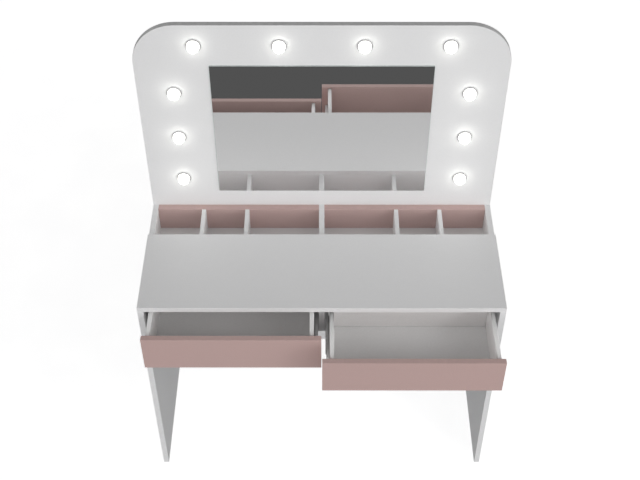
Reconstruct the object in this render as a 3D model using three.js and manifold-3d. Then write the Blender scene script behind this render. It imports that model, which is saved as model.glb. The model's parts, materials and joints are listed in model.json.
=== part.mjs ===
// Vanity table with a lit mirror board, an open organiser behind the table top and two drawers.
// Millimetres, +Z up, +Y towards the rear, +X towards the right drawer. The origin is on the
// floor, under the middle of the table's own box, with the drawers open as they stand at rest.

import * as THREE from 'three';
import { mergeVertices } from 'three/addons/utils/BufferGeometryUtils.js';
import Module from 'manifold-3d';

const wasm = await Module();
wasm.setup();

// ---------------------------------------------------------------- driving dimensions

// carcass
const WIDTH = 1000; // over the outer faces of the side panels
const TABLE_HEIGHT = 744; // floor to table surface
const TABLE_DEPTH = 281; // front edge of the table top to the organiser
const BOARD = 16; // white furniture board
const BACK_PANEL_BOTTOM = 100; // floor to the lower edge of the back panel

// organiser
const ORGANISER_LENGTH = 140; // from the table top to the mirror board
const ORGANISER_HOLLOW = 78; // rim to compartment floor
const DIVIDER = 12; // thickness of the small dividers
const DIVIDER_PLACES = [220, 348]; // middle of the table to the middle of each small divider
const REAR_PANEL = 20; // thickness of the coloured panels in front of the mirror board

// mirror board, its heights counted from the table surface
const MIRROR_BOARD_RISE = 620; // to its top edge
const MIRROR_BOARD_DROP = 144; // down to its lower edge, behind the organiser
const MIRROR_BOARD_CORNER = 120; // radius of its two top corners
const MIRROR_WIDTH = 600;
const MIRROR_HEIGHT = 450;
const MIRROR_LIFT = 44; // table surface to the lower edge of the mirror
const MIRROR_THICKNESS = 4;

// lamps
const TOP_LAMPS = 4;
const TOP_LAMP_PITCH = 224;
const SIDE_LAMPS = 3;
const SIDE_LAMP_INSET = 100; // side lamps to the edge of the mirror board
const LAMP_PITCH_UP = 154.5; // from one lamp to the next one up, and on to the top row
const FIRST_LAMP_LIFT = 93; // table surface to the lowest lamps
const LAMP_BASE_RADIUS = 20;
const LAMP_BASE_THICKNESS = 4;
const LAMP_SEAT_DEPTH = 1.6; // recess that holds the dome
const LAMP_DOME_RADIUS = 16;
const LAMP_DOME_CENTRE = 8; // centre of the dome's sphere, in front of the mirror board
const LAMP_SEAT_CLEARANCE = 0.4;
const LAMP_SEGMENTS = 20; // facets round a lamp
const LAMP_STEM_RADIUS = 3.5; // hollow stem that carries the leads through the board
const LAMP_STEM_CLEARANCE = 0.5;
const LAMP_STEM_PROUD = 2; // length of stem behind the board

// wiring cover and driver box, behind the mirror board
const COVER_WIDTH = 40;
const COVER_DEPTH = 12;
const COVER_WALL = 1.5;
const COVER_CORNER = 30;
const COVER_BELOW_LAMP = 25; // lowest lamps to the ends of the cover
const DRIVER_WIDTH = 60;
const DRIVER_HEIGHT = 90;
const DRIVER_DEPTH = 24;
const DRIVER_CORNER = 5;
const DRIVER_GAP = 0.5; // wiring cover to driver box
const INLET_RADIUS = 4; // low-voltage socket in the underside of the driver box
const INLET_DEPTH = 12;
const INLET_PIN_RADIUS = 1.1;
const INLET_PIN_LENGTH = 10;

// drawers
const FRONT_THICKNESS = 16;
const FRONT_HEIGHT = 117;
const FRONT_GAP_TOP = 3; // drawer front to the underside of the table top
const FRONT_GAP_SIDE = 2; // drawer front to the side panel
const FRONT_GAP_MIDDLE = 2; // between the two drawer fronts
const DRAWER_SIDE = 12; // thickness of the drawer sides and back
const DRAWER_SIDE_HEIGHT = 112;
const DRAWER_REAR_CLEARANCE = 38; // closed drawer to the organiser wall
const BASE_BOARD = 3; // hardboard drawer base
const BASE_LIFT = 6; // lower edge of a drawer side to the base
const GROOVE_DEPTH = 6;
const GROOVE_CLEARANCE = 0.5;
const PARTITION_SETBACK = 20; // front edge of the table to the partition between the drawers
const PARTITION_HEIGHT = 104;
const LEFT_DRAWER_OPEN = 96; // how far each drawer stands open at rest
const RIGHT_DRAWER_OPEN = 173;

// telescopic ball slides, three members each
const SLIDE_SPACE = 13; // from the panel to the drawer side
const SLIDE_HEIGHT = 35;
const SLIDE_SHEET = 1.2;
const SLIDE_LIFT = 34; // lower edge of a drawer side to the middle of its slide
const SLIDE_SETBACK = 4; // drawer front to the front end of a slide
const BALL_PLAY = 0.3;
const BALL_RADIUS = 1.2;
const BALLS_IN_ROW = 4;
const BALL_PITCH = 14;

// ---------------------------------------------------------------- places worked out from them

const HALF_WIDTH = WIDTH / 2;
const SIDE_FACE = HALF_WIDTH - BOARD; // inner face of a side panel
const RIM_HEIGHT = TABLE_HEIGHT - BOARD; // underside of the table top, rim of the organiser
const CARCASS_DEPTH = TABLE_DEPTH + ORGANISER_LENGTH;
const REAR_FACE = CARCASS_DEPTH + BOARD;
const ORGANISER_WALL = TABLE_DEPTH - BOARD; // front face of the wall behind the drawers
const ORGANISER_FLOOR = RIM_HEIGHT - ORGANISER_HOLLOW;
const MIRROR_BOARD_TOP = TABLE_HEIGHT + MIRROR_BOARD_RISE;
const MIRROR_BOARD_BOTTOM = TABLE_HEIGHT - MIRROR_BOARD_DROP;
const FIRST_LAMP_HEIGHT = TABLE_HEIGHT + FIRST_LAMP_LIFT;
const TOP_LAMP_HEIGHT = FIRST_LAMP_HEIGHT + SIDE_LAMPS * LAMP_PITCH_UP;
const SIDE_LAMP_PLACE = HALF_WIDTH - SIDE_LAMP_INSET;
const COVER_END = FIRST_LAMP_HEIGHT - COVER_BELOW_LAMP;
const PARTITION_FACE = BOARD / 2;
const FRONT_TOP = RIM_HEIGHT - FRONT_GAP_TOP;
const FRONT_BOTTOM = FRONT_TOP - FRONT_HEIGHT;
const DRAWER_REAR = ORGANISER_WALL - DRAWER_REAR_CLEARANCE; // rear end of a closed drawer
const DRAWER_INNER_FACE = PARTITION_FACE + SLIDE_SPACE; // drawer's outer face by the partition
const DRAWER_OUTER_FACE = SIDE_FACE - SLIDE_SPACE; // drawer's outer face by the side panel
const GROOVE_LOW = FRONT_BOTTOM + BASE_LIFT;
const GROOVE_HIGH = GROOVE_LOW + BASE_BOARD + GROOVE_CLEARANCE;
const DRAWER_SIDE_TOP = FRONT_BOTTOM + DRAWER_SIDE_HEIGHT;
const SLIDE_MIDDLE = FRONT_BOTTOM + SLIDE_LIFT;
const SLIDE_FRONT = FRONT_THICKNESS + SLIDE_SETBACK; // front end of a closed slide

// ---------------------------------------------------------------- finishes

function finish(color, roughness, metalness) {
  return () => new THREE.MeshStandardMaterial({ color, roughness, metalness });
}

const whiteBoard = finish(0xe4e4e6, 0.45, 0);
const pinkBoard = finish(0xc49c94, 0.5, 0);
const drawerFoil = finish(0xe0e0e1, 0.55, 0);
const mirrorGlass = finish(0xc8ccd0, 0.03, 1);
const lampMetal = finish(0xb6b8bb, 0.3, 0.9);
const lampDiffuser = finish(0xffffff, 0.35, 0);
const slideSteel = finish(0xe0e1e3, 0.4, 0.1); // white powder coat
const whitePlastic = finish(0xe6e6e4, 0.5, 0);

// ---------------------------------------------------------------- shape helpers

// A box between two opposite corners. Every face keeps the value that it is given, so boards
// that share a plane meet on it without a gap.
function boxBetween(low, high) {
  const geometry = new THREE.BoxGeometry(1, 1, 1);
  const corners = geometry.attributes.position;
  for (let i = 0; i < corners.count; i += 1) {
    corners.setXYZ(
      i,
      corners.getX(i) > 0 ? high[0] : low[0],
      corners.getY(i) > 0 ? high[1] : low[1],
      corners.getZ(i) > 0 ? high[2] : low[2],
    );
  }
  return geometry;
}

// A box given by its span in X, Y and Z; a span may be written in either order.
function boxOver(spanX, spanY, spanZ) {
  const spans = [spanX, spanY, spanZ];
  const low = spans.map((span) => Math.min(...span));
  const high = spans.map((span) => Math.max(...span));
  return boxBetween(low, high);
}

// An outline drawn in X and Z, carried along Y from its front face to its rear face.
function carriedAlongY(shape, front, rear, curveSegments = 12) {
  const options = { depth: rear - front, bevelEnabled: false, curveSegments };
  const geometry = new THREE.ExtrudeGeometry(shape, options);
  geometry.rotateX(Math.PI / 2);
  geometry.translate(0, rear, 0);
  return geometry;
}

function outline(points) {
  return new THREE.Shape(points.map(([x, z]) => new THREE.Vector2(x, z)));
}

function roundHole(x, z, radius, sides = 16) {
  const points = [];
  for (let i = 0; i < sides; i += 1) {
    const angle = (2 * Math.PI * i) / sides;
    points.push(new THREE.Vector2(x + radius * Math.cos(angle), z + radius * Math.sin(angle)));
  }
  return new THREE.Path(points);
}

// three.js mesh to manifold solid and back, for joins and cuts
function toSolid(geometry) {
  const bare = geometry.clone();
  bare.deleteAttribute('normal');
  bare.deleteAttribute('uv');
  const welded = mergeVertices(bare, 1e-4);
  return new wasm.Manifold(new wasm.Mesh({
    numProp: 3,
    vertProperties: new Float32Array(welded.attributes.position.array),
    triVerts: new Uint32Array(welded.index.array),
  }));
}

function toGeometry(solid) {
  const mesh = solid.getMesh();
  const geometry = new THREE.BufferGeometry();
  geometry.setAttribute('position', new THREE.BufferAttribute(mesh.vertProperties, 3));
  geometry.setIndex(new THREE.BufferAttribute(mesh.triVerts, 1));
  geometry.computeVertexNormals();
  return geometry;
}

function piece(parent, name, geometry, material) {
  const mesh = new THREE.Mesh(geometry, material());
  mesh.name = name;
  parent.add(mesh);
  return mesh;
}

// ---------------------------------------------------------------- the whole table

// Depths below are counted from the front edge of the table top. The outer group moves them so
// that the origin is half way between the open right drawer and the back of the driver box.
const table = new THREE.Group();
const frontmost = -Math.max(LEFT_DRAWER_OPEN, RIGHT_DRAWER_OPEN);
const rearmost = REAR_FACE + DRIVER_DEPTH;
table.position.y = -(frontmost + rearmost) / 2;

const group = new THREE.Group();
group.add(table);

// side panels carry the table top between the front edge and the organiser
function addCarcass() {
  for (const [name, side] of [['left_side_panel', -1], ['right_side_panel', 1]]) {
    const spanX = [side * SIDE_FACE, side * HALF_WIDTH];
    piece(table, name, boxOver(spanX, [0, CARCASS_DEPTH], [0, RIM_HEIGHT]), whiteBoard);
  }
  const full = [-HALF_WIDTH, HALF_WIDTH];
  piece(table, 'table_top', boxOver(full, [0, TABLE_DEPTH], [RIM_HEIGHT, TABLE_HEIGHT]), whiteBoard);
  piece(
    table,
    'drawer_partition',
    boxOver(
      [-PARTITION_FACE, PARTITION_FACE],
      [PARTITION_SETBACK, ORGANISER_WALL],
      [RIM_HEIGHT - PARTITION_HEIGHT, RIM_HEIGHT],
    ),
    whiteBoard,
  );
  piece(
    table,
    'back_panel',
    boxOver(full, [CARCASS_DEPTH, REAR_FACE], [BACK_PANEL_BOTTOM, MIRROR_BOARD_BOTTOM]),
    whiteBoard,
  );
}

// open compartments between the table top and the mirror board
function addOrganiser() {
  const inside = [-SIDE_FACE, SIDE_FACE];
  const hollow = [ORGANISER_FLOOR, RIM_HEIGHT];
  const underFloor = ORGANISER_FLOOR - BOARD;
  const pinkFace = CARCASS_DEPTH - REAR_PANEL;
  piece(
    table,
    'organiser_front_wall',
    boxOver(inside, [ORGANISER_WALL, TABLE_DEPTH], [underFloor, RIM_HEIGHT]),
    whiteBoard,
  );
  piece(
    table,
    'organiser_floor',
    boxOver(inside, [TABLE_DEPTH, CARCASS_DEPTH], [underFloor, ORGANISER_FLOOR]),
    whiteBoard,
  );
  piece(
    table,
    'organiser_divider_middle',
    boxOver([-PARTITION_FACE, PARTITION_FACE], [TABLE_DEPTH, CARCASS_DEPTH], hollow),
    whiteBoard,
  );
  for (const [sideName, side] of [['left', -1], ['right', 1]]) {
    piece(
      table,
      `organiser_rear_panel_${sideName}`,
      boxOver([side * PARTITION_FACE, side * SIDE_FACE], [pinkFace, CARCASS_DEPTH], hollow),
      pinkBoard,
    );
    DIVIDER_PLACES.forEach((place, index) => {
      const spanX = [side * (place - DIVIDER / 2), side * (place + DIVIDER / 2)];
      piece(
        table,
        `organiser_divider_${sideName}_${index + 1}`,
        boxOver(spanX, [TABLE_DEPTH, pinkFace], hollow),
        whiteBoard,
      );
    });
  }
}

// lamp places in X and Z: up the left side, along the top, down the right side
function lampPlaces() {
  const places = [];
  for (let i = 0; i < SIDE_LAMPS; i += 1) {
    places.push([-SIDE_LAMP_PLACE, FIRST_LAMP_HEIGHT + i * LAMP_PITCH_UP]);
  }
  for (let i = 0; i < TOP_LAMPS; i += 1) {
    places.push([(i - (TOP_LAMPS - 1) / 2) * TOP_LAMP_PITCH, TOP_LAMP_HEIGHT]);
  }
  for (let i = SIDE_LAMPS - 1; i >= 0; i -= 1) {
    places.push([SIDE_LAMP_PLACE, FIRST_LAMP_HEIGHT + i * LAMP_PITCH_UP]);
  }
  return places;
}

// board with two round top corners and a lead hole behind each lamp; the mirror is glued to it
function addMirrorBoard() {
  const shape = new THREE.Shape();
  const arcCentre = HALF_WIDTH - MIRROR_BOARD_CORNER;
  const arcHeight = MIRROR_BOARD_TOP - MIRROR_BOARD_CORNER;
  shape.moveTo(-HALF_WIDTH, MIRROR_BOARD_BOTTOM);
  shape.lineTo(HALF_WIDTH, MIRROR_BOARD_BOTTOM);
  shape.absarc(arcCentre, arcHeight, MIRROR_BOARD_CORNER, 0, Math.PI / 2, false);
  shape.absarc(-arcCentre, arcHeight, MIRROR_BOARD_CORNER, Math.PI / 2, Math.PI, false);
  shape.closePath();
  for (const [x, z] of lampPlaces()) {
    shape.holes.push(roundHole(x, z, LAMP_STEM_RADIUS + LAMP_STEM_CLEARANCE));
  }
  piece(table, 'mirror_board', carriedAlongY(shape, CARCASS_DEPTH, REAR_FACE, 20), whiteBoard);

  const mirrorBottom = TABLE_HEIGHT + MIRROR_LIFT;
  piece(
    table,
    'mirror',
    boxOver(
      [-MIRROR_WIDTH / 2, MIRROR_WIDTH / 2],
      [CARCASS_DEPTH - MIRROR_THICKNESS, CARCASS_DEPTH],
      [mirrorBottom, mirrorBottom + MIRROR_HEIGHT],
    ),
    mirrorGlass,
  );
}

// Lamp: a dished metal base with a stem through the board, and a round diffuser in its dish.
// Both are turned about the lamp's own axis, which runs from the board to the front.
function addLamps() {
  const seat = LAMP_BASE_THICKNESS - LAMP_SEAT_DEPTH;
  const dishRadius = LAMP_DOME_RADIUS + LAMP_SEAT_CLEARANCE;
  const stemEnd = -(BOARD + LAMP_STEM_PROUD);
  const rimChamfer = 0.8;
  const baseProfile = [
    [0, stemEnd],
    [LAMP_STEM_RADIUS, stemEnd],
    [LAMP_STEM_RADIUS, 0],
    [LAMP_BASE_RADIUS, 0],
    [LAMP_BASE_RADIUS, LAMP_BASE_THICKNESS - rimChamfer],
    [LAMP_BASE_RADIUS - rimChamfer, LAMP_BASE_THICKNESS],
    [dishRadius, LAMP_BASE_THICKNESS],
    [dishRadius, seat],
    [0, seat],
  ].map(([radius, along]) => new THREE.Vector2(radius, along));

  const domeSteps = 6;
  const seatAngle = Math.asin((seat - LAMP_DOME_CENTRE) / LAMP_DOME_RADIUS);
  const domeProfile = [new THREE.Vector2(0, seat)];
  for (let i = 0; i < domeSteps; i += 1) {
    const angle = seatAngle + ((Math.PI / 2 - seatAngle) * i) / domeSteps;
    domeProfile.push(new THREE.Vector2(
      LAMP_DOME_RADIUS * Math.cos(angle),
      LAMP_DOME_CENTRE + LAMP_DOME_RADIUS * Math.sin(angle),
    ));
  }
  domeProfile.push(new THREE.Vector2(0, LAMP_DOME_CENTRE + LAMP_DOME_RADIUS));

  lampPlaces().forEach(([x, z], index) => {
    const lamp = new THREE.Group();
    lamp.position.set(x, CARCASS_DEPTH, z);
    lamp.rotation.x = Math.PI; // the lathe axis, +Y, points forward
    table.add(lamp);
    const number = String(index + 1).padStart(2, '0');
    piece(lamp, `lamp_base_${number}`, new THREE.LatheGeometry(baseProfile, LAMP_SEGMENTS), lampMetal);
    piece(lamp, `lamp_dome_${number}`, new THREE.LatheGeometry(domeProfile, LAMP_SEGMENTS), lampDiffuser);
  });
}

// outline of the wiring cover, an upside-down U behind the lamps; inset shrinks it all round
function coverOutline(inset) {
  const outer = SIDE_LAMP_PLACE + COVER_WIDTH / 2 - inset;
  const inner = SIDE_LAMP_PLACE - COVER_WIDTH / 2 + inset;
  const top = TOP_LAMP_HEIGHT + COVER_WIDTH / 2 - inset;
  const under = TOP_LAMP_HEIGHT - COVER_WIDTH / 2 + inset;
  const end = COVER_END + inset;
  const corner = COVER_CORNER - inset;
  const shape = new THREE.Shape();
  shape.moveTo(outer, end);
  shape.absarc(outer - corner, top - corner, corner, 0, Math.PI / 2, false);
  shape.absarc(-outer + corner, top - corner, corner, Math.PI / 2, Math.PI, false);
  shape.lineTo(-outer, end);
  shape.lineTo(-inner, end);
  shape.lineTo(-inner, under);
  shape.lineTo(inner, under);
  shape.lineTo(inner, end);
  shape.closePath();
  return shape;
}

// the cover hides the lamps' leads; the driver box at its left end takes the low-voltage plug
function addRearElectrics() {
  const coverBack = REAR_FACE + COVER_DEPTH;
  const shell = toSolid(carriedAlongY(coverOutline(0), REAR_FACE, coverBack));
  const channelBack = coverBack - COVER_WALL;
  const channel = toSolid(carriedAlongY(coverOutline(COVER_WALL), REAR_FACE - 1, channelBack));
  piece(table, 'wiring_cover', toGeometry(shell.subtract(channel)), whitePlastic);

  const halfWidth = DRIVER_WIDTH / 2;
  const top = COVER_END - DRIVER_GAP;
  const bottom = top - DRIVER_HEIGHT;
  const centre = -SIDE_LAMP_PLACE;
  const shape = new THREE.Shape();
  const corner = DRIVER_CORNER;
  shape.absarc(centre + halfWidth - corner, top - corner, corner, 0, Math.PI / 2, false);
  shape.absarc(centre - halfWidth + corner, top - corner, corner, Math.PI / 2, Math.PI, false);
  shape.absarc(centre - halfWidth + corner, bottom + corner, corner, Math.PI, 1.5 * Math.PI, false);
  shape.absarc(centre + halfWidth - corner, bottom + corner, corner, 1.5 * Math.PI, 2 * Math.PI, false);
  const box = toSolid(carriedAlongY(shape, REAR_FACE, REAR_FACE + DRIVER_DEPTH, 4));

  const inletPlace = REAR_FACE + DRIVER_DEPTH / 2;
  const socket = new THREE.CylinderGeometry(INLET_RADIUS, INLET_RADIUS, 2 * INLET_DEPTH, 20);
  socket.rotateX(Math.PI / 2);
  socket.translate(centre, inletPlace, bottom);
  const pinTop = bottom + INLET_DEPTH + 1; // rooted 1 mm in the end of the socket
  const pin = new THREE.CylinderGeometry(INLET_PIN_RADIUS, INLET_PIN_RADIUS, INLET_PIN_LENGTH + 1, 10);
  pin.rotateX(Math.PI / 2);
  pin.translate(centre, inletPlace, pinTop - (INLET_PIN_LENGTH + 1) / 2);
  const driver = box.subtract(toSolid(socket)).add(toSolid(pin));
  piece(table, 'driver_box', toGeometry(driver), whitePlastic);
}

// One drawer box and its front, in a group that slides along Y. Side is -1 for the left drawer
// and 1 for the right one; "inner" is next to the partition and "outer" next to the side panel.
function addDrawer(name, side, drawer) {
  const frontInner = FRONT_GAP_MIDDLE / 2;
  const frontOuter = SIDE_FACE - FRONT_GAP_SIDE;
  piece(
    drawer,
    `${name}_front`,
    boxOver([side * frontInner, side * frontOuter], [0, FRONT_THICKNESS], [FRONT_BOTTOM, FRONT_TOP]),
    pinkBoard,
  );

  // a side is a board with a groove in its inner face, which holds the base
  for (const [edge, outerFace, inward] of [
    ['inner', DRAWER_INNER_FACE, 1],
    ['outer', DRAWER_OUTER_FACE, -1],
  ]) {
    const face = side * (outerFace + inward * DRAWER_SIDE);
    const grooveFace = side * (outerFace + inward * (DRAWER_SIDE - GROOVE_DEPTH));
    const section = outline([
      [side * outerFace, FRONT_BOTTOM],
      [face, FRONT_BOTTOM],
      [face, GROOVE_LOW],
      [grooveFace, GROOVE_LOW],
      [grooveFace, GROOVE_HIGH],
      [face, GROOVE_HIGH],
      [face, DRAWER_SIDE_TOP],
      [side * outerFace, DRAWER_SIDE_TOP],
    ]);
    piece(drawer, `${name}_side_${edge}`, carriedAlongY(section, FRONT_THICKNESS, DRAWER_REAR), drawerFoil);
  }

  const insideLow = DRAWER_INNER_FACE + DRAWER_SIDE;
  const insideHigh = DRAWER_OUTER_FACE - DRAWER_SIDE;
  piece(
    drawer,
    `${name}_back`,
    boxOver(
      [side * insideLow, side * insideHigh],
      [DRAWER_REAR - DRAWER_SIDE, DRAWER_REAR],
      [GROOVE_HIGH, DRAWER_SIDE_TOP],
    ),
    drawerFoil,
  );
  const tongue = GROOVE_DEPTH - GROOVE_CLEARANCE;
  piece(
    drawer,
    `${name}_base`,
    boxOver(
      [side * (insideLow - tongue), side * (insideHigh + tongue)],
      [FRONT_THICKNESS, DRAWER_REAR],
      [GROOVE_LOW, GROOVE_LOW + BASE_BOARD],
    ),
    drawerFoil,
  );
}

// Section of one slide member, a channel that opens towards the drawer or away from it.
// Distances across are counted from the panel; the web is at "web" and the flanges reach "lip".
function slideSection(panelFace, across, web, lip, halfHeight) {
  const webInner = web + Math.sign(lip - web) * SLIDE_SHEET;
  const high = SLIDE_MIDDLE + halfHeight;
  const low = SLIDE_MIDDLE - halfHeight;
  const at = (distance) => panelFace + across * distance;
  return outline([
    [at(web), low],
    [at(lip), low],
    [at(lip), low + SLIDE_SHEET],
    [at(webInner), low + SLIDE_SHEET],
    [at(webInner), high - SLIDE_SHEET],
    [at(lip), high - SLIDE_SHEET],
    [at(lip), high],
    [at(web), high],
  ]);
}

// The three members of a slide nest in each other, with rows of balls fixed in the middle one:
// outside it, at its rear, against the cabinet member, and inside it, at its front, against the
// drawer member. The two rows leave room for the full travel.
function addSlide(name, panelFace, across, cabinet, middle, drawer) {
  const cabinetHalf = SLIDE_HEIGHT / 2;
  const ballRoom = 2 * BALL_RADIUS - 0.2; // a ball is sunk 0.2 mm in the middle member
  const middleHalf = cabinetHalf - SLIDE_SHEET - BALL_PLAY - ballRoom;
  const drawerHalf = middleHalf - SLIDE_SHEET - BALL_PLAY - ballRoom;
  const cabinetLip = 9;
  const middleWeb = 2.2;
  const middleLip = 11;
  const drawerLip = 4.4;

  const cabinetSection = slideSection(panelFace, across, 0, cabinetLip, cabinetHalf);
  const middleSection = slideSection(panelFace, across, middleWeb, middleLip, middleHalf);
  const drawerSection = slideSection(panelFace, across, SLIDE_SPACE, drawerLip, drawerHalf);
  const member = (section) => carriedAlongY(section, SLIDE_FRONT, DRAWER_REAR);

  let middleSolid = toSolid(member(middleSection));
  const ballRow = (distance, height, firstY) => {
    for (let i = 0; i < BALLS_IN_ROW; i += 1) {
      for (const upDown of [-1, 1]) {
        const ball = new THREE.SphereGeometry(BALL_RADIUS, 6, 4);
        ball.rotateX(Math.PI / 2); // poles up and down, where it meets the flanges
        ball.translate(
          panelFace + across * distance,
          firstY + i * BALL_PITCH,
          SLIDE_MIDDLE + upDown * height,
        );
        middleSolid = middleSolid.add(toSolid(ball));
      }
    }
  };
  const rowLength = (BALLS_IN_ROW - 1) * BALL_PITCH;
  const ballEndRoom = 8; // ball row to the end of the member
  const outsideHeight = middleHalf + ballRoom - BALL_RADIUS;
  const insideHeight = middleHalf - SLIDE_SHEET - ballRoom + BALL_RADIUS;
  ballRow((middleWeb + cabinetLip) / 2, outsideHeight, DRAWER_REAR - ballEndRoom - rowLength);
  ballRow((drawerLip + middleLip) / 2, insideHeight, SLIDE_FRONT + ballEndRoom);

  piece(cabinet, `${name}_cabinet_member`, member(cabinetSection), slideSteel);
  piece(middle, `${name}_middle_member`, toGeometry(middleSolid), slideSteel);
  piece(drawer, `${name}_drawer_member`, member(drawerSection), slideSteel);
}

// a drawer stands open by "open", and the middle members of its slides by half as much
function addDrawerBay(sideName, side, open) {
  const drawer = new THREE.Group();
  drawer.position.y = -open;
  const middle = new THREE.Group();
  middle.position.y = -open / 2;
  table.add(drawer, middle);
  addDrawer(`${sideName}_drawer`, side, drawer);
  addSlide(`${sideName}_slide_inner`, side * PARTITION_FACE, side, table, middle, drawer);
  addSlide(`${sideName}_slide_outer`, side * SIDE_FACE, -side, table, middle, drawer);
}

addCarcass();
addOrganiser();
addMirrorBoard();
addLamps();
addRearElectrics();
addDrawerBay('left', -1, LEFT_DRAWER_OPEN);
addDrawerBay('right', 1, RIGHT_DRAWER_OPEN);

export default group;
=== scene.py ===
"""Vanity table with a lit mirror board, an open organiser and two drawers, in Blender 4.5.

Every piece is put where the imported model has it, in metres, and rides on the model's bodies.
"""
import json
import math

import bpy
import numpy as np
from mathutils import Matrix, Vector

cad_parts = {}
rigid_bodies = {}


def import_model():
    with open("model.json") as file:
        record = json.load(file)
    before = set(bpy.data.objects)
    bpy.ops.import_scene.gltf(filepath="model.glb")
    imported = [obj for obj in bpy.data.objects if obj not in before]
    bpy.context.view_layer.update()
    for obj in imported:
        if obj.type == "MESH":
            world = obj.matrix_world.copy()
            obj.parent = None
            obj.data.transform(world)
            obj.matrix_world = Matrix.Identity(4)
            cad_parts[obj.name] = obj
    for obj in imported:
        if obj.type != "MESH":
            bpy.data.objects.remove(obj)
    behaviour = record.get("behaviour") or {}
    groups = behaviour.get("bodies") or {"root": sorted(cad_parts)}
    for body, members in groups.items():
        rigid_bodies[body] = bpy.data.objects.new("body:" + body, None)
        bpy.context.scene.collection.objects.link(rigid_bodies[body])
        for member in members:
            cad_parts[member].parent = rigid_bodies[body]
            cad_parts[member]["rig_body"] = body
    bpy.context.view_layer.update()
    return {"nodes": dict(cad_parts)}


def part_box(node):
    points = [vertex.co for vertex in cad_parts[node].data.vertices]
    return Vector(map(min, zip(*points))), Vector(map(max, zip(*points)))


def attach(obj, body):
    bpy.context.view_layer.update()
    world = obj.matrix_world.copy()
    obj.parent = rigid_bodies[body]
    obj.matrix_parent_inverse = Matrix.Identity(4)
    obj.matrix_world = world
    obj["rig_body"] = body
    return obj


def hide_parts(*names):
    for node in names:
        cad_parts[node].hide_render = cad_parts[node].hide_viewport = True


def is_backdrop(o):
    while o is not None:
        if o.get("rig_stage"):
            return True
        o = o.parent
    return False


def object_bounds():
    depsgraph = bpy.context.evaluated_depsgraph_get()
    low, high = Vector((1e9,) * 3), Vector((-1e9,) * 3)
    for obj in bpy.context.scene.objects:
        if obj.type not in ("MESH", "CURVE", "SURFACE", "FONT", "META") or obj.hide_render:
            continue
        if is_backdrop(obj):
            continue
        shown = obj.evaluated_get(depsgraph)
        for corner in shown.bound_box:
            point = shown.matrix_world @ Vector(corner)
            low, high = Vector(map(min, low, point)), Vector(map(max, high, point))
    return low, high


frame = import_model()

# ---------------------------------------------------------------------------- camera
# A view from high up in front of the middle of the table, looking down on it at about 45 degrees
# through a short telephoto lens. The lens is in millimetres, other lengths in metres, and angles
# in radians.

CAMERA_PLACE = (-0.0036, -2.1056, 3.0072)
CAMERA_LOOKS_DOWN = math.radians(45.557)
CAMERA_TURNS_LEFT = 0.0006
CAMERA_LENS = 62.34
SENSOR_WIDTH = 36.0

camera_data = bpy.data.cameras.new("camera")
camera_data.lens = CAMERA_LENS
camera_data.sensor_width = SENSOR_WIDTH
camera = bpy.data.objects.new("camera", camera_data)
camera.location = CAMERA_PLACE
camera.rotation_euler = (math.pi / 2 - CAMERA_LOOKS_DOWN, 0.0, CAMERA_TURNS_LEFT)
bpy.context.scene.collection.objects.link(camera)
bpy.context.scene.camera = camera
bpy.context.scene.view_settings.view_transform = "Standard"

# ---------------------------------------------------------------------------- studio
# A seamless white floor inside a tent of soft light. The tent is brightest in front, just above
# the horizon, weaker overhead and behind, and nearly black low down, where the mirror sees it.


def new_material(name):
    """A node material, its tree and its Principled shader."""
    material = bpy.data.materials.new(name)
    material.use_nodes = True
    tree = material.node_tree
    return material, tree, tree.nodes["Principled BSDF"]


def grain(tree, scale, detail=2.0, stretch=(1.0, 1.0, 1.0)):
    """Noise from 0 to 1 on object coordinates: scale waves to the metre, times stretch by axis."""
    place = tree.nodes.new("ShaderNodeTexCoord")
    mapping = tree.nodes.new("ShaderNodeMapping")
    noise = tree.nodes.new("ShaderNodeTexNoise")
    mapping.inputs["Scale"].default_value = stretch
    noise.inputs["Scale"].default_value = scale
    noise.inputs["Detail"].default_value = detail
    tree.links.new(place.outputs["Object"], mapping.inputs["Vector"])
    tree.links.new(mapping.outputs["Vector"], noise.inputs["Vector"])
    return noise.outputs["Fac"]


# the values of the grain between which a colour and a roughness change
COLOUR_FROM, COLOUR_TO = 0.35, 0.65
ROUGHNESS_FROM, ROUGHNESS_TO = 0.3, 0.7


def vary_colour(tree, shader, value, dark, light):
    """The colour goes from dark to light as the value goes from COLOUR_FROM to COLOUR_TO."""
    ramp = tree.nodes.new("ShaderNodeValToRGB")
    ramp.color_ramp.elements[0].position = COLOUR_FROM
    ramp.color_ramp.elements[0].color = (*dark, 1.0)
    ramp.color_ramp.elements[1].position = COLOUR_TO
    ramp.color_ramp.elements[1].color = (*light, 1.0)
    tree.links.new(value, ramp.inputs["Fac"])
    tree.links.new(ramp.outputs["Color"], shader.inputs["Base Color"])


def vary_roughness(tree, shader, value, low, high):
    """The roughness goes from low to high as the value goes from ROUGHNESS_FROM to ROUGHNESS_TO."""
    span = tree.nodes.new("ShaderNodeMapRange")
    span.inputs["From Min"].default_value = ROUGHNESS_FROM
    span.inputs["From Max"].default_value = ROUGHNESS_TO
    span.inputs["To Min"].default_value = low
    span.inputs["To Max"].default_value = high
    tree.links.new(value, span.inputs["Value"])
    tree.links.new(span.outputs["Result"], shader.inputs["Roughness"])


LARGE_FACES_WIN = 100


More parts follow.
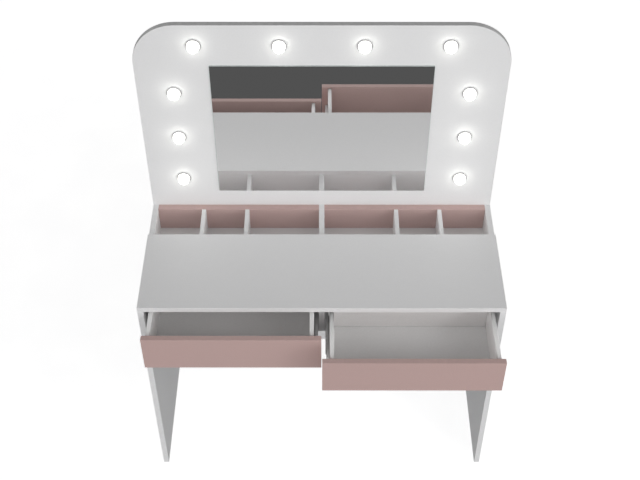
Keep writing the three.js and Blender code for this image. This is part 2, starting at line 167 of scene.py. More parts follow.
def new_piece(name, points, faces, materials, material_of_face=None):
    """A smooth mesh object at the origin from an array of points and a list of faces.

    Its normals are averaged by face area, so that flat faces stay flat beside narrow rounded ones.
    """
    mesh = bpy.data.meshes.new(name)
    mesh.from_pydata(points.tolist(), [], faces)
    for material in materials:
        mesh.materials.append(material)
    if material_of_face is not None:
        mesh.polygons.foreach_set("material_index", np.asarray(material_of_face, dtype=np.int32))
    mesh.polygons.foreach_set("use_smooth", np.ones(len(faces), dtype=bool))
    mesh.update()
    piece = bpy.data.objects.new(name, mesh)
    bpy.context.scene.collection.objects.link(piece)
    even = piece.modifiers.new("even_normals", "WEIGHTED_NORMAL")
    even.weight = LARGE_FACES_WIN
    return piece


FLOOR_HALF = 30.0
FLOOR_GLOW = 0.62

floor_paint, tree, shader = new_material("studio_floor")
vary_colour(tree, shader, grain(tree, 6.0), (0.86, 0.86, 0.865), (0.90, 0.90, 0.90))
vary_roughness(tree, shader, grain(tree, 30.0), 0.75, 0.9)
shader.inputs["Specular IOR Level"].default_value = 0.0
shader.inputs["Emission Color"].default_value = (1.0, 1.0, 1.0, 1.0)
shader.inputs["Emission Strength"].default_value = FLOOR_GLOW
floor_corners = np.array([[-1, -1, 0], [1, -1, 0], [1, 1, 0], [-1, 1, 0]]) * FLOOR_HALF
floor = new_piece("studio_floor", floor_corners, [[0, 1, 2, 3]], [floor_paint])
floor.visible_glossy = False
floor.visible_diffuse = False
floor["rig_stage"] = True

# height of a direction (its Z, from -1 to 1) and the share of the tent's full brightness there
TENT_BY_HEIGHT = (
    (-0.56, 0.040),
    (-0.50, 0.17),
    (-0.22, 0.18),
    (-0.03, 0.28),
    (0.10, 1.0),
    (0.20, 0.95),
    (0.32, 0.36),
    (0.72, 0.34),
    (0.93, 0.02),
)
TENT_IN_FRONT = 2.14
TENT_BEHIND = 1.05
TENT_TURN = 0.35

world = bpy.data.worlds.new("studio_tent")
world.use_nodes = True
bpy.context.scene.world = world
tree = world.node_tree
direction = tree.nodes.new("ShaderNodeTexCoord")
split = tree.nodes.new("ShaderNodeSeparateXYZ")
height = tree.nodes.new("ShaderNodeMapRange")
height.inputs["From Min"].default_value = -1.0
tent = tree.nodes.new("ShaderNodeValToRGB")
for z, grey in TENT_BY_HEIGHT:
    stop = tent.color_ramp.elements.new((z + 1) / 2)
    stop.color = (grey, grey, grey, 1.0)
tent.color_ramp.elements.remove(tent.color_ramp.elements[0])
tent.color_ramp.elements.remove(tent.color_ramp.elements[-1])
behind = tree.nodes.new("ShaderNodeMapRange")
behind.interpolation_type = "SMOOTHSTEP"
behind.inputs["From Min"].default_value = -TENT_TURN
behind.inputs["From Max"].default_value = TENT_TURN
behind.inputs["To Min"].default_value = TENT_IN_FRONT
behind.inputs["To Max"].default_value = TENT_BEHIND
tree.links.new(direction.outputs["Generated"], split.inputs["Vector"])
tree.links.new(split.outputs["Z"], height.inputs["Value"])
tree.links.new(split.outputs["Y"], behind.inputs["Value"])
tree.links.new(height.outputs["Result"], tent.inputs["Fac"])
tree.links.new(tent.outputs["Color"], tree.nodes["Background"].inputs["Color"])
tree.links.new(behind.outputs["Result"], tree.nodes["Background"].inputs["Strength"])

# a soft box in front of the table, to its right and higher than the mirror board, so that what
# stands up in the organiser and the drawers casts its shadow to the left
SOFT_BOX_PLACE = (2.7, -2.3, 2.25)
SOFT_BOX_AIM = (0.0, 0.2, 0.9)
SOFT_BOX_SIZE = 1.3
SOFT_BOX_WATTS = 16.0

soft_box_data = bpy.data.lights.new("soft_box", "AREA")
soft_box_data.shape = "DISK"
soft_box_data.size = SOFT_BOX_SIZE
soft_box_data.energy = SOFT_BOX_WATTS
soft_box = bpy.data.objects.new("soft_box", soft_box_data)
soft_box.location = SOFT_BOX_PLACE
aim = Vector(SOFT_BOX_AIM) - soft_box.location
soft_box.rotation_euler = aim.to_track_quat("-Z", "Y").to_euler()
bpy.context.scene.collection.objects.link(soft_box)

# ---------------------------------------------------------------------------- white boards
# Side panels, table top, partition, back panel and the organiser's boards: 16 and 12 mm
# particle board faced with satin white melamine paper. Their cut edges carry a glued plastic
# band whose corners are trimmed round.

BAND_ROUNDING = 0.0006
BAND_STEPS = 4
BOARD_CORNER_STEPS = 5
LEAST_CORNER_TO_ROUNDING = 1.5
SQUARE_CORNERS = (0, 0, 0, 0)


def emboss(tree, shader, value, depth):
    """The value stands proud of the surface by up to depth metres."""
    bump = tree.nodes.new("ShaderNodeBump")
    bump.inputs["Distance"].default_value = depth
    tree.links.new(value, bump.inputs["Height"])
    tree.links.new(bump.outputs["Normal"], shader.inputs["Normal"])


white_melamine, tree, shader = new_material("white_melamine")
vary_colour(tree, shader, grain(tree, 420.0, 3.0), (0.865, 0.865, 0.87), (0.89, 0.89, 0.895))
vary_roughness(tree, shader, grain(tree, 35.0, 4.0), 0.40, 0.52)
emboss(tree, shader, grain(tree, 1500.0, 3.0), 0.00004)

white_band, tree, shader = new_material("white_edge_band")
vary_colour(tree, shader, grain(tree, 90.0, 2.0), (0.865, 0.865, 0.87), (0.89, 0.89, 0.895))
vary_roughness(tree, shader, grain(tree, 60.0, 3.0), 0.34, 0.46)
emboss(tree, shader, grain(tree, 900.0, 2.0, (1.0, 1.0, 0.1)), 0.00003)


def quarter_turn(steps):
    """Evenly spaced angles from 0 to a right angle, in radians."""
    return np.linspace(0, np.pi / 2, steps)


def rounded_rectangle(size, radii, insets, steps):
    """Outlines of a rectangle about the origin, one for each inset, anticlockwise.

    A corner is a quarter circle of its radius less the inset, about a centre that stays put.
    """
    corner = np.array([[1, 1], [-1, 1], [-1, -1], [1, -1]])
    centre = corner * (np.asarray(size) / 2 - radii[:, None])
    angle = np.arange(4)[:, None] * np.pi / 2 + quarter_turn(steps)
    circle = np.stack([np.cos(angle), np.sin(angle)], -1)
    reach = radii[None, :, None, None] - insets[:, None, None, None]
    return (centre[None, :, None, :] + reach * circle[None]).reshape(len(insets), -1, 2)


def closed_stack(rings):
    """Points and faces of a closed solid through a stack of outlines.

    Neighbouring outlines are joined by four-sided faces and each end is closed by one flat face.
    The outlines run anticlockwise seen from the far end of the stack, so faces point outwards.
    """
    count, around = rings.shape[:2]
    index = np.arange(count * around).reshape(count, around)
    near, far = index[:-1], index[1:]
    sides = np.stack([near, np.roll(near, -1, 1), np.roll(far, -1, 1), far], -1).reshape(-1, 4)
    return rings.reshape(-1, 3), sides.tolist() + [index[0][::-1].tolist(), index[-1].tolist()]


def board_shell(low, high, thin, rounding, radii, steps):
    """Points and faces of a board between two corners, thin along axis number thin.

    Its outline is stacked along the thin axis. The inset of the outline follows a quarter circle
    into each face: inset = r (1 - sin a), height = r (1 - cos a).
    """
    low, high = np.array(low), np.array(high)
    order = [(thin + 1) % 3, (thin + 2) % 3, thin]
    length, width, thickness = (high - low)[order]
    angle = quarter_turn(BAND_STEPS)
    inset = rounding * (1 - np.sin(angle))
    height = rounding * (1 - np.cos(angle))
    insets = np.concatenate([inset, inset[::-1]])
    heights = np.concatenate([height, thickness - height[::-1]]) - thickness / 2
    radii = np.maximum(radii, rounding * LEAST_CORNER_TO_ROUNDING)
    outlines = rounded_rectangle((length, width), radii, insets, steps)
    level = np.broadcast_to(heights[:, None, None], (*outlines.shape[:2], 1))
    rings = np.empty((*outlines.shape[:2], 3))
    rings[..., order] = np.concatenate([outlines, level], -1)
    return closed_stack(rings + (low + high) / 2)


BODY_OF_NODE = {name: node["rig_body"] for name, node in frame["nodes"].items()}
ACROSS, DEEP, UPRIGHT = 0, 1, 2


def stands_for(piece, node):
    """The piece rides with the node's body and hides the node."""
    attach(piece, BODY_OF_NODE[node])
    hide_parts(node)


def board_for(
    node, thin, materials, rounding=BAND_ROUNDING, radii=SQUARE_CORNERS, steps=BOARD_CORNER_STEPS
):
    """A board in a node's place: its two faces have the first material, its edges the second."""
    points, faces = board_shell(*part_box(node), thin, rounding, radii, steps)
    is_band = np.ones(len(faces), dtype=bool)
    is_band[-2:] = False
    stands_for(new_piece(f"{node}_board", points, faces, materials, is_band), node)


WHITE = [white_melamine, white_band]
for node, thin in (
    ("left_side_panel", ACROSS),
    ("right_side_panel", ACROSS),
    ("table_top", UPRIGHT),
    ("drawer_partition", ACROSS),
    ("back_panel", DEEP),
    ("organiser_front_wall", DEEP),
    ("organiser_floor", UPRIGHT),
    ("organiser_divider_middle", ACROSS),
    ("organiser_divider_left_1", ACROSS),
    ("organiser_divider_left_2", ACROSS),
    ("organiser_divider_right_1", ACROSS),
    ("organiser_divider_right_2", ACROSS),
):
    board_for(node, thin, WHITE)

# ---------------------------------------------------------------------------- pink boards
# The drawer fronts and the organiser's two rear panels: board wrapped in a matt dusty pink
# foil with a very fine leather-like grain, edges banded in the same foil.

pink_foil, tree, shader = new_material("dusty_pink_foil")
vary_colour(tree, shader, grain(tree, 300.0, 4.0), (0.590, 0.420, 0.396), (0.620, 0.441, 0.416))
vary_roughness(tree, shader, grain(tree, 45.0, 3.0), 0.42, 0.55)
emboss(tree, shader, grain(tree, 1100.0, 4.0), 0.00005)

pink_band, tree, shader = new_material("dusty_pink_edge_band")
vary_colour(tree, shader, grain(tree, 120.0, 2.0), (0.585, 0.414, 0.390), (0.615, 0.435, 0.410))
vary_roughness(tree, shader, grain(tree, 70.0, 3.0), 0.36, 0.48)
emboss(tree, shader, grain(tree, 800.0, 2.0), 0.00003)

PINK = [pink_foil, pink_band]
PINK_ROUNDING = 0.0008
for node in (
    "organiser_rear_panel_left",
    "organiser_rear_panel_right",
    "left_drawer_front",
    "right_drawer_front",
):
    board_for(node, DEEP, PINK, rounding=PINK_ROUNDING)

# ---------------------------------------------------------------------------- mirror board
# One upright board with two large round top corners, faced like the others; its edges all round
# are coloured mid grey, darker than its faces. The mirror, glued on, is 4 mm silvered float
# glass, edges ground.

grey_band, tree, shader = new_material("light_grey_edge_band")
vary_colour(tree, shader, grain(tree, 90.0, 2.0), (0.50, 0.50, 0.50), (0.55, 0.55, 0.55))
vary_roughness(tree, shader, grain(tree, 60.0, 3.0), 0.36, 0.48)
emboss(tree, shader, grain(tree, 900.0, 2.0, (1.0, 0.1, 1.0)), 0.00003)

MIRROR_BOARD = [white_melamine, grey_band]
TOP_CORNER = 0.120
TOP_CORNER_STEPS = 28
mirror_board_low, mirror_board_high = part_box("mirror_board")
mirror_board_radii = (TOP_CORNER, 0, 0, TOP_CORNER)
board_for("mirror_board", DEEP, MIRROR_BOARD, radii=mirror_board_radii, steps=TOP_CORNER_STEPS)

silvered_glass, tree, shader = new_material("silvered_glass")
shader.inputs["Base Color"].default_value = (0.955, 0.955, 0.955, 1.0)
shader.inputs["Metallic"].default_value = 1.0
vary_roughness(tree, shader, grain(tree, 14.0, 5.0), 0.006, 0.018)

ground_edge, tree, shader = new_material("ground_glass_edge")
vary_colour(tree, shader, grain(tree, 200.0, 2.0), (0.50, 0.55, 0.54), (0.60, 0.65, 0.64))
vary_roughness(tree, shader, grain(tree, 500.0, 2.0), 0.25, 0.45)

GROUND_ROUNDING = 0.0009
board_for("mirror", DEEP, [silvered_glass, ground_edge], rounding=GROUND_ROUNDING)

# ---------------------------------------------------------------------------- lamps
# Ten small round lamps: a turned satin aluminium base with a rolled rim, and an opal dome lit
# from inside, pressed into the dish of the base. The dome glows most at its crown.

LAMPS = 10
LAMP_AROUND = 56
LAMP_GLOW = 5.8
DOME_RINGS = 22
DOME_LAST_RING = math.radians(89.2)
DISH_PLAY = 0.0006

lamp_metal, tree, shader = new_material("satin_aluminium")
shader.inputs["Metallic"].default_value = 0.85
vary_colour(tree, shader, grain(tree, 900.0, 2.0), (0.50, 0.50, 0.50), (0.58, 0.58, 0.58))
vary_roughness(tree, shader, grain(tree, 600.0, 2.0), 0.30, 0.42)

opal_dome, tree, shader = new_material("lit_opal_dome")
shader.inputs["Base Color"].default_value = (0.93, 0.93, 0.91, 1.0)
shader.inputs["Roughness"].default_value = 0.32
shader.inputs["Emission Strength"].default_value = LAMP_GLOW
own_map = tree.nodes.new("ShaderNodeUVMap")
own_map.uv_map = "rim_to_crown"
split = tree.nodes.new("ShaderNodeSeparateXYZ")
glow = tree.nodes.new("ShaderNodeValToRGB")
glow.color_ramp.elements[0].color = (0.72, 0.73, 0.67, 1.0)
glow.color_ramp.elements[1].color = (1.0, 1.0, 0.95, 1.0)
tree.links.new(own_map.outputs["UV"], split.inputs["Vector"])
tree.links.new(split.outputs["Y"], glow.inputs["Fac"])
tree.links.new(glow.outputs["Color"], shader.inputs["Emission Color"])


def turned(profile, centre, along, around):
    """Rings of a profile of (radius, distance) turned about an axis through centre.

    With two unit vectors u and v square to the axis, a point is
    centre + distance * axis + radius * (u cos a + v sin a).
    """
    axis = np.array(along, dtype=float)
    u = np.array([0.0, 0.0, 1.0]) if abs(axis[2]) < 0.5 else np.array([1.0, 0.0, 0.0])
    v = np.cross(axis, u)
    angle = np.linspace(0, 2 * np.pi, around, endpoint=False)
    circle = np.cos(angle)[:, None] * u + np.sin(angle)[:, None] * v
    radius, distance = np.asarray(profile, dtype=float).T
    return centre + distance[:, None, None] * axis + radius[:, None, None] * circle[None]


def turned_piece(name, profile, centre, along, materials, around=LAMP_AROUND):
    """A closed turned piece; its profile starts and ends on small flat discs."""
    points, faces = closed_stack(turned(profile, np.array(centre), along, around))
    return new_piece(name, points, faces, materials)


def map_rows(piece, rows, around, name):
    """UV map of a stack of rings: x goes round, y goes from 0 on the first ring to 1 on the last."""
    x, y = np.meshgrid(np.arange(around) / around, np.arange(rows) / (rows - 1))
    of_point = np.stack([x.ravel(), y.ravel()], -1)
    corners = np.empty(len(piece.data.loops), dtype=np.int32)
    piece.data.loops.foreach_get("vertex_index", corners)
    layer = piece.data.uv_layers.new(name=name)
    layer.data.foreach_set("uv", of_point[corners].ravel())


# The roundings of a base's section. BASE_FOOT leads from the board to the straight wall, in steps
# of how far in from that wall and how far up. BASE_RIM leads over the rolled rim, how far in from
# the wall and how far down from the front, and BASE_LIP into the dish, how far out from the
# dish's wall and how far down.
BASE_FOOT = ((0.0008, 0.0), (0.0002, 0.0004), (0.0, 0.0010))
BASE_RIM = ((0.0, 0.0016), (0.0004, 0.0007), (0.0012, 0.0001), (0.0022, 0.0))
BASE_LIP = ((0.0007, 0.0003), (0.0001, 0.0009))


def base_profile(radius, rim, dish, seat):
    """Radius and distance from the board of a base's section, from its foot to its dish's floor."""
    foot_points = [(radius - inwards, up) for inwards, up in BASE_FOOT]
    rim_points = [(radius - inwards, rim - down) for inwards, down in BASE_RIM]
    lip_points = [(dish + outwards, rim - down) for outwards, down in BASE_LIP]
    return [*foot_points, *rim_points, *lip_points, (dish, seat)]


def dome_profile(radius, crown, seat):
    """Radius and distance from the board of a ball's cap, from its seat to almost its crown."""
    middle = crown - radius
    lowest = math.asin(max(-1.0, (seat - middle) / radius))
    angle = np.linspace(lowest, DOME_LAST_RING, DOME_RINGS)
    return np.stack([radius * np.cos(angle), middle + radius * np.sin(angle)], -1)


FORWARD = (0.0, -1.0, 0.0)
for number in range(1, LAMPS + 1):
    base_node = f"lamp_base_{number:02d}"
    dome_node = f"lamp_dome_{number:02d}"
    base_low, base_high = map(np.array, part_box(base_node))
    dome_low, dome_high = map(np.array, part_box(dome_node))
    wall = mirror_board_low.y
    centre = np.array([(dome_low[0] + dome_high[0]) / 2, wall, (dome_low[2] + dome_high[2]) / 2])
    base_radius = (base_high[0] - base_low[0]) / 2
    dome_radius = (dome_high[0] - dome_low[0]) / 2
    seat = wall - dome_high[1]
    profile = base_profile(base_radius, wall - base_low[1], dome_radius + DISH_PLAY, seat)
    base = turned_piece(f"lamp_base_turned_{number:02d}", profile, centre, FORWARD, [lamp_metal])
    stands_for(base, base_node)
    profile = dome_profile(dome_radius, wall - dome_low[1], seat)
    dome = turned_piece(f"lamp_dome_opal_{number:02d}", profile, centre, FORWARD, [opal_dome])
    map_rows(dome, DOME_RINGS, LAMP_AROUND, "rim_to_crown")
    stands_for(dome, dome_node)

# ---------------------------------------------------------------------------- drawers
# Two drawer boxes: 12 mm sides and back wrapped in matt white foil, sides with rounded top
# edges and a groove near the bottom, and a thin hardboard base that slides into the grooves.

drawer_foil, tree, shader = new_material("drawer_wrap_foil")
vary_colour(tree, shader, grain(tree, 260.0, 3.0), (0.89, 0.885, 0.88), (0.92, 0.915, 0.91))
vary_roughness(tree, shader, grain(tree, 50.0, 3.0), 0.48, 0.6)
emboss(tree, shader, grain(tree, 700.0, 3.0, (1.0, 0.15, 1.0)), 0.00004)

drawer_base_paint, tree, shader = new_material("painted_hardboard")
vary_colour(tree, shader, grain(tree, 180.0, 5.0), (0.88, 0.88, 0.875), (0.91, 0.91, 0.905))
vary_roughness(tree, shader, grain(tree, 80.0, 3.0), 0.5, 0.62)
emboss(tree, shader, grain(tree, 1300.0, 4.0), 0.00005)

SIDE_ROUNDING = 0.0025
SIDE_ROUNDING_STEPS = 6
BACK_ROUNDING = 0.0015
BASE_ROUNDING = 0.0004
GROOVE_DEPTH = 0.006
GROOVE_HEIGHT = 0.0035


def carried(name, outline, start, end, materials):
    """A closed outline in X and Z carried along Y from start to end.

    Twice its area is the sum of x times the next z less z times the next x. It is turned round
    if that is positive, so that faces point outwards.
    """
    x, z = outline.T
    area = np.sum(x * np.roll(z, -1) - z * np.roll(x, -1))
    outline = outline if area < 0 else outline[::-1]
    rings = np.empty((2, len(outline), 3))
    rings[..., 0] = outline[:, 0]
    rings[..., 2] = outline[:, 1]
    rings[:, :, 1] = np.array([start, end])[:, None]
    return new_piece(name, *closed_stack(rings), materials)


def drawer_side_outline(low, high, groove_face, groove_bottom):
    """Section of a drawer side: a tall rectangle with a groove in one face.

    Its two top corners are quarter circles. The groove face is the x of the side's inner face.
    """
    x_low, x_high = low.x, high.x
    angle = quarter_turn(SIDE_ROUNDING_STEPS)
    r = SIDE_ROUNDING
    right_top = np.stack([x_high - r + r * np.cos(angle), high.z - r + r * np.sin(angle)], -1)
    left_top = np.stack([x_low + r - r * np.sin(angle), high.z - r + r * np.cos(angle)], -1)
    deep = groove_face - math.copysign(GROOVE_DEPTH, groove_face - (x_low + x_high) / 2)
    top = groove_bottom + GROOVE_HEIGHT
    groove = np.array([
        [groove_face, groove_bottom], [deep, groove_bottom], [deep, top], [groove_face, top],
    ])
    bottom = np.array([[x_low, low.z], [x_high, low.z]])
    if groove_face == x_high:
        return np.concatenate([bottom, groove, right_top, left_top])
    return np.concatenate([bottom, right_top, left_top, groove[::-1]])


for side in ("left", "right"):
    base_low, base_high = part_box(f"{side}_drawer_base")
    middle = (base_low.x + base_high.x) / 2
    for edge in ("inner", "outer"):
        node = f"{side}_drawer_side_{edge}"
        low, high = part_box(node)
        inner_face = high.x if high.x < middle else low.x
        outline = drawer_side_outline(low, high, inner_face, base_low.z)
        side_piece = carried(f"{node}_grooved", outline, low.y, high.y, [drawer_foil])
        stands_for(side_piece, node)
    board_for(f"{side}_drawer_back", DEEP, [drawer_foil] * 2, rounding=BACK_ROUNDING)
    board_for(f"{side}_drawer_base", UPRIGHT, [drawer_base_paint] * 2, rounding=BASE_ROUNDING)

# ---------------------------------------------------------------------------- slides
# Four telescopic ball slides, each of three rolled channels that nest in each other, made of
# steel strip with a white powder coat. Hard chrome balls run between the channels.

coated_steel, tree, shader = new_material("white_powder_coated_steel")
vary_colour(tree, shader, grain(tree, 150.0, 3.0), (0.84, 0.84, 0.84), (0.88, 0.88, 0.88))
vary_roughness(tree, shader, grain(tree, 90.0, 3.0, (1.0, 0.2, 1.0)), 0.32, 0.45)
emboss(tree, shader, grain(tree, 1800.0, 3.0), 0.00004)

chrome_steel, tree, shader = new_material("chrome_steel")
shader.inputs["Metallic"].default_value = 1.0
vary_colour(tree, shader, grain(tree, 500.0, 2.0), (0.62, 0.63, 0.65), (0.72, 0.73, 0.74))
vary_roughness(tree, shader, grain(tree, 700.0, 2.0), 0.14, 0.24)

STRIP = 0.0012
BEND_RADIUS = 0.0022
BEND_STEPS = 6
LIP_CURL = 0.0008
FLANGE_STEPS = 4


def strip_outline(path, thickness):
    """Closed outline of a strip that follows a path: half the thickness to each side of it.

    The side direction at a point is square to the chord between its two neighbours.
    """
    along = np.gradient(path, axis=0)
    side = np.stack([-along[:, 1], along[:, 0]], -1) / np.linalg.norm(along, axis=1)[:, None]
    return np.concatenate([path + side * thickness / 2, (path - side * thickness / 2)[::-1]])


def channel_path(web, lip, low, high):
    """Middle line of a C-shaped channel: a lip that curls in, a flange, a round bend and the web.

    A bend is a quarter circle. Over the outer half of the flange, where a share of it from 0 to a
    half is covered, the curl moves it inwards by LIP_CURL times the square of cos (pi share).
    """
    out = math.copysign(1.0, lip - web)
    web_middle = web + out * STRIP / 2
    top = high - STRIP / 2
    turn = quarter_turn(BEND_STEPS)
    reach = np.arange(FLANGE_STEPS) / FLANGE_STEPS
    flange_x = lip + (web_middle + out * BEND_RADIUS - lip) * reach
    curl = np.where(reach < 0.5, LIP_CURL * np.cos(reach * np.pi) ** 2, 0.0)
    upper = np.concatenate([
        np.stack([flange_x, top - curl], -1),
        np.stack([
            web_middle + out * BEND_RADIUS * (1 - np.sin(turn)),
            top - BEND_RADIUS * (1 - np.cos(turn)),
        ], -1),
    ])
    lower = upper[::-1] * (1, -1) + (0, low + high)
    return np.concatenate([upper, lower])


UPWARD = (0.0, 0.0, 1.0)
MEMBERS = ("cabinet", "middle", "drawer")
BALL_RADIUS = 0.0012
BALL_RINGS = 7
BALL_AROUND = 10
BALL_POLE = 0.15  # radians
BALL_SUNK = 0.0002
BALL_PLAY = 0.0003
BALLS_IN_ROW = 4
BALL_PITCH = 0.014
BALL_END_ROOM = 0.008
MEMBER_STEP = STRIP + BALL_PLAY + 2 * BALL_RADIUS - BALL_SUNK


def gathered(shells):
    """One list of points and one of faces from several closed shells."""
    starts = np.cumsum([0] + [len(points) for points, faces in shells])
    faces = [
        [start + corner for corner in face]
        for start, (points, shell) in zip(starts, shells)
        for face in shell
    ]
    return np.concatenate([points for points, shell in shells]), faces


def ball(centre):
    """A ball as a stack of rings: the radius times a cosine, at the radius times a sine.

    The angle stops BALL_POLE short of each pole, where a small flat disc closes the ball.
    """
    angle = np.linspace(-np.pi / 2 + BALL_POLE, np.pi / 2 - BALL_POLE, BALL_RINGS)
    profile = BALL_RADIUS * np.stack([np.cos(angle), np.sin(angle)], -1)
    return closed_stack(turned(profile, np.array(centre), UPWARD, BALL_AROUND))


for side in ("left", "right"):
    for edge in ("inner", "outer"):
        slide = f"{side}_slide_{edge}"
        span = {member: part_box(f"{slide}_{member}_member") for member in MEMBERS}
        drawer_is_right = span["drawer"][1].x > span["cabinet"][1].x
        axis = (span["cabinet"][0].z + span["cabinet"][1].z) / 2
        web_of, lip_of = {}, {}
        for step, member in enumerate(MEMBERS):
            low, high = span[member]
            # the cabinet's and the middle channel open towards the drawer, the drawer's away from it
            opens_right = drawer_is_right == (member != "drawer")
            web, lip = (low.x, high.x) if opens_right else (high.x, low.x)
            web_of[member] = web
            lip_of[member] = lip
            half = span["cabinet"][1].z - axis - step * MEMBER_STEP
            outline = strip_outline(channel_path(web, lip, axis - half, axis + half), STRIP)
            piece = carried(f"{slide}_{member}_channel", outline, low.y, high.y, [coated_steel])
            stands_for(piece, f"{slide}_{member}_member")
        low, high = span["middle"]
        middle_half = span["cabinet"][1].z - axis - MEMBER_STEP
        outer_x = (web_of["middle"] + lip_of["cabinet"]) / 2
        inner_x = (lip_of["drawer"] + lip_of["middle"]) / 2
        rows = (
            (outer_x, middle_half + BALL_RADIUS - BALL_SUNK, False),
            (inner_x, middle_half - STRIP - BALL_RADIUS + BALL_SUNK, True),
        )
        balls = []
        for x, up, at_front in rows:
            for number in range(BALLS_IN_ROW):
                run = BALL_END_ROOM + number * BALL_PITCH
                y = low.y + run if at_front else high.y - run
                balls += [ball((x, y, axis + up)), ball((x, y, axis - up))]
        balls = new_piece(f"{slide}_balls", *gathered(balls), [chrome_steel])
        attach(balls, f"{side}_slide_middles")

# ---------------------------------------------------------------------------- wiring cover
# Behind the lamps an upside-down U of shallow channel, moulded in white plastic and open towards
# the board, hides their leads. Screws through its rear face hold it to the board.

white_moulding, tree, shader = new_material("fine_textured_white_plastic")
vary_colour(tree, shader, grain(tree, 400.0, 3.0), (0.765, 0.765, 0.755), (0.79, 0.79, 0.78))
vary_roughness(tree, shader, grain(tree, 200.0, 3.0), 0.42, 0.56)
emboss(tree, shader, grain(tree, 1600.0, 3.0), 0.00004)

COVER_WIDTH = 0.040
COVER_WALL = 0.0015
COVER_CORNER = 0.030
COVER_CORNER_STEPS = 14
COVER_ROUNDING = 0.002
COVER_ROUNDING_STEPS = 5
cover_low, cover_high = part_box("wiring_cover")


def cover_outline(inset):
    """Outline of an upside-down U, anticlockwise seen from behind, shrunk all round by the inset.

    Its two outer top corners are quarter circles, and all other corners are sharp.
    """
    outer = cover_high.x - inset
    inner = cover_high.x - COVER_WIDTH + inset
    top = cover_high.z - inset
    under = cover_high.z - COVER_WIDTH + inset
    end = cover_low.z + inset
    corner = COVER_CORNER - inset
    turn = quarter_turn(COVER_CORNER_STEPS)
    arc = np.stack([outer - corner + corner * np.cos(turn), top - corner + corner * np.sin(turn)], -1)
    half = np.concatenate([[[0.0, under], [inner, under], [inner, end], [outer, end]], arc])
    other_half = half[:0:-1] * (-1, 1)  # backwards, without the point in the middle of the table
    return np.concatenate([half, other_half])[::-1]


def stacked_along_y(outline, insets, places):
    """Rings of an outline in X and Z, one for each inset, each at its own place along Y."""
    rings = []
    for inset, y in zip(insets, places):
        flat = outline(inset)
        rings.append(np.stack([flat[:, 0], np.full(len(flat), y), flat[:, 1]], -1))
    return np.array(rings)


# from the hollow's floor to its mouth on the board, then along the outer wall and round its edge
# to the flat rear face
turn = quarter_turn(COVER_ROUNDING_STEPS)
cover_insets = [COVER_WALL, COVER_WALL, 0.0, *(COVER_ROUNDING * (1 - np.cos(turn)))]
cover_places = [
    cover_high.y - COVER_WALL,
    cover_low.y,
    cover_low.y,
    *(cover_high.y - COVER_ROUNDING * (1 - np.sin(turn))),
]
cover_rings = stacked_along_y(cover_outline, cover_insets, cover_places)
cover = new_piece("wiring_cover_channel", *closed_stack(cover_rings), [white_moulding])
stands_for(cover, "wiring_cover")

SCREW_AROUND = 36
SCREW_RINGS = 12
# shares of a head's radius: the flat at its crown, and half the width and length of the cross
SCREW_FLAT = 0.06
CROSS_ARM = 0.15
CROSS_REACH = 0.66


def screw_head(centre, radius, height, recess):
    """A domed head with a cross recess that faces backwards, as a closed stack of rings.

    Its height over the seat is h (1 - (r / R)^2 / 2), less the recess depth where a point lies
    within CROSS_ARM of R from one diameter and within CROSS_REACH of R from the other.
    """
    share = np.linspace(1, SCREW_FLAT, SCREW_RINGS)
    angle = np.linspace(0, 2 * np.pi, SCREW_AROUND, endpoint=False)
    x = share[:, None] * np.cos(angle)
    z = -share[:, None] * np.sin(angle)
    in_arm = np.minimum(abs(x), abs(z)) < CROSS_ARM
    in_reach = np.maximum(abs(x), abs(z)) < CROSS_REACH
    level = height * (1 - share[:, None] ** 2 / 2) - recess * (in_arm & in_reach)
    dome = np.stack([radius * x, level, radius * z], -1)
    seat = dome[:1] * (1, 0, 1)
    return closed_stack(np.concatenate([seat, dome]) + np.array(centre))


def screws(name, centres, radius, height, recess):
    """A set of like screws, in one piece that rides on the table."""
    shells = [screw_head(centre, radius, height, recess) for centre in centres]
    piece = new_piece(name, *gathered(shells), [chrome_steel])
    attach(piece, "root")


COVER_SCREW_SPAN = 0.7  # of the top run, from its middle to its outermost screws
COVER_SCREW_END_ROOM = 0.1
COVER_SCREWS_IN_ROW = 3
cover_screw = {"radius": 0.0035, "height": 0.0020, "recess": 0.0009}
run_middle = cover_high.x - COVER_WIDTH / 2
top_middle = cover_high.z - COVER_WIDTH / 2
top_reach = COVER_SCREW_SPAN * run_middle
lowest = cover_low.z + COVER_SCREW_END_ROOM
highest = top_middle - COVER_SCREW_END_ROOM
cover_screws = []
for x in np.linspace(-top_reach, top_reach, COVER_SCREWS_IN_ROW):
    cover_screws.append((x, cover_high.y, top_middle))
for x in (-run_middle, run_middle):
    for z in np.linspace(lowest, highest, COVER_SCREWS_IN_ROW):
        cover_screws.append((x, cover_high.y, z))
screws("wiring_cover_screws", cover_screws, **cover_screw)

# ---------------------------------------------------------------------------- driver box
# The lamps' low-voltage driver is a moulded white box under the left end of the wiring cover,
# with raised cooling ribs behind and a round socket for the supply's plug underneath.

driver_low, driver_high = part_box("driver_box")
DRIVER_EDGE = 0.002
DRIVER_EDGE_STEPS = 6
DRIVER_REAR_CORNER = 0.003
DRIVER_FRONT_CORNER = 0.0022
DRIVER_CORNER_STEPS = 9
RIBS = 9
RIB_HEIGHT = 0.001
RIB_WIDTH = 0.0024
RIB_SUNK = 0.0004
RIB_SIDE_ROOM = 0.012
RIB_END_ROOM = 0.02
RIB_ROUNDING = 0.0005
RIB_CORNER_STEPS = 3
SOCKET_RADIUS = 0.004
SOCKET_DEPTH = 0.012
NEARLY_ROUND = 0.9999  # keeps the ends of the bore's four quarter circles apart

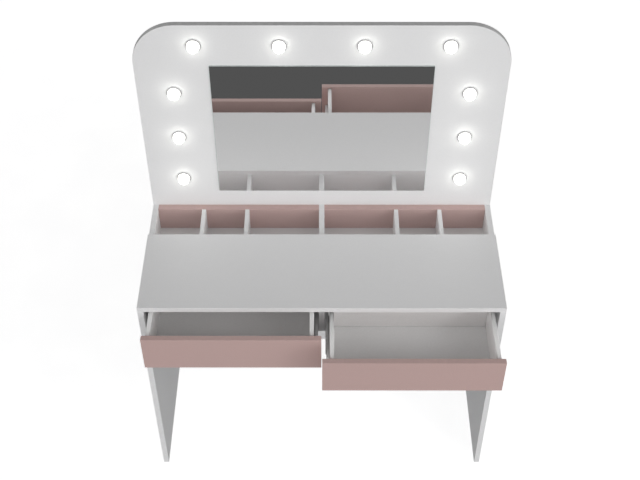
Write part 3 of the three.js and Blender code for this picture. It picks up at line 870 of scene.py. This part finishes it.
# from the socket's floor down to its mouth in the underside, then out and up the walls to the top
box_size = np.array([driver_high.x - driver_low.x, driver_high.y - driver_low.y - RIB_HEIGHT])
box_middle = np.array([(driver_high.x + driver_low.x) / 2, driver_low.y + box_size[1] / 2])
box_corners = np.repeat([DRIVER_REAR_CORNER, DRIVER_FRONT_CORNER], 2)
bore_corners = np.full(4, SOCKET_RADIUS * NEARLY_ROUND)
bore_size = (2 * SOCKET_RADIUS, 2 * SOCKET_RADIUS)
bore = rounded_rectangle(bore_size, bore_corners, np.zeros(1), DRIVER_CORNER_STEPS)[0]
angle = quarter_turn(DRIVER_EDGE_STEPS)
inset = DRIVER_EDGE * (1 - np.sin(angle))
climb = DRIVER_EDGE * (1 - np.cos(angle))
insets = np.concatenate([inset, inset[::-1]])
levels = np.concatenate([driver_low.z + climb, driver_high.z - climb[::-1]])
walls = rounded_rectangle(box_size, box_corners, insets, DRIVER_CORNER_STEPS)
outlines = np.concatenate([[bore, bore], walls])
levels = np.concatenate([[driver_low.z + SOCKET_DEPTH, driver_low.z], levels])
driver_rings = np.concatenate(
    [outlines + box_middle, np.broadcast_to(levels[:, None, None], (*outlines.shape[:2], 1))], -1
)
driver = new_piece("driver_box_moulded", *closed_stack(driver_rings), [white_moulding])
stands_for(driver, "driver_box")

ribs = []
rib_root = driver_high.y - RIB_HEIGHT - RIB_SUNK
for z in np.linspace(driver_low.z + RIB_END_ROOM, driver_high.z - RIB_END_ROOM, RIBS):
    rib_low = (driver_low.x + RIB_SIDE_ROOM, rib_root, z - RIB_WIDTH / 2)
    rib_high = (driver_high.x - RIB_SIDE_ROOM, driver_high.y, z + RIB_WIDTH / 2)
    ribs.append(board_shell(rib_low, rib_high, DEEP, RIB_ROUNDING, SQUARE_CORNERS, RIB_CORNER_STEPS))
ribs = new_piece("driver_box_ribs", *gathered(ribs), [white_moulding])
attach(ribs, "root")

PIN_RADIUS = 0.0011
PIN_LENGTH = 0.010
PIN_AROUND = 24
# share of the pin's radius, and distance from its lower end
PIN_TIP = ((0.4, 0.0), (0.8, 0.0002), (1.0, 0.0006))

pin_profile = [(PIN_RADIUS * share, climb - PIN_LENGTH) for share, climb in PIN_TIP]
pin_profile.append((PIN_RADIUS, 0.0))
pin_root = (box_middle[0], box_middle[1], driver_low.z + SOCKET_DEPTH)
pin = turned_piece(
    "driver_socket_pin", pin_profile, pin_root, UPWARD, [chrome_steel], around=PIN_AROUND
)
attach(pin, "root")

# ---------------------------------------------------------------------------- board screws
# The mirror board and the back panel are fixed to the rear edges of the side panels and the
# organiser's floor by countersunk screws, whose shallow heads stand just proud of the face.

BACK_PANEL_END_ROOM = 0.05
BACK_PANEL_SCREWS = 4
MIRROR_BOARD_END_ROOM = 0.03
SIDE_PANEL_END_ROOM = 0.02
FLOOR_SCREWS = 4
FLOOR_SCREW_SPAN = 0.6  # of the way from the middle of the table to a side panel
board_screw = {"radius": 0.0042, "height": 0.0006, "recess": 0.0005}
back_low, back_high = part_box("back_panel")
side_low, side_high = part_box("right_side_panel")
side_middle = (side_low.x + side_high.x) / 2
organiser_floor_low, organiser_floor_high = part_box("organiser_floor")
rear = mirror_board_high.y
floor_middle = (organiser_floor_low.z + organiser_floor_high.z) / 2
floor_reach = FLOOR_SCREW_SPAN * side_middle
lowest = back_low.z + BACK_PANEL_END_ROOM
highest = back_high.z - BACK_PANEL_END_ROOM
heights = [
    *np.linspace(lowest, highest, BACK_PANEL_SCREWS),
    mirror_board_low.z + MIRROR_BOARD_END_ROOM,
    side_high.z - SIDE_PANEL_END_ROOM,
]
board_screws = []
for z in heights:
    board_screws += [(-side_middle, rear, z), (side_middle, rear, z)]
for x in np.linspace(-floor_reach, floor_reach, FLOOR_SCREWS):
    board_screws.append((x, rear, floor_middle))
screws("board_screws", board_screws, **board_screw)

low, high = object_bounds()
